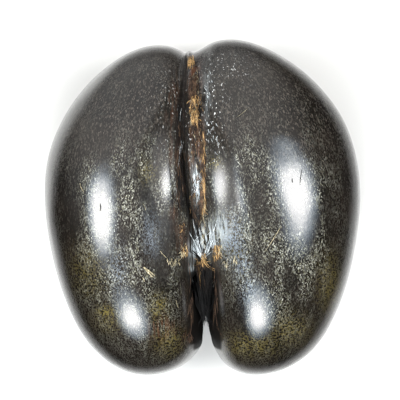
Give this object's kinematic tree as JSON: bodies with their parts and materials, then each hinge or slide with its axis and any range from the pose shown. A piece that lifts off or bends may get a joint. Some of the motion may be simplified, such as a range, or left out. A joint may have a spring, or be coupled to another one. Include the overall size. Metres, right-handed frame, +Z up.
{
  "type": "coco de mer nut",
  "caption": "Polished black-brown coco de mer nut: broad grown-together lobes with a notched top, a ridged seam, and a deep cleft filled with bristles.",
  "frame": {"origin": "middle of the outline seen from above, at the height the nut rests on", "axes": "+Z up through the fuller, ridged front, +Y along the seam towards the joined, notched end, +X across the lobes towards the larger one"},
  "size_m": [0.2807, 0.2996, 0.167],
  "materials": {
    "polished_shell": "gloss",
    "black_bristle": "matte",
    "tan_husk_fibre": "matte"
  },
  "bodies": {
    "root": {"nut": "polished_shell", "cleft_fibre_tuft": "black_bristle", "seam_husk_fibre": "tan_husk_fibre"}
  },
  "joints": []
}
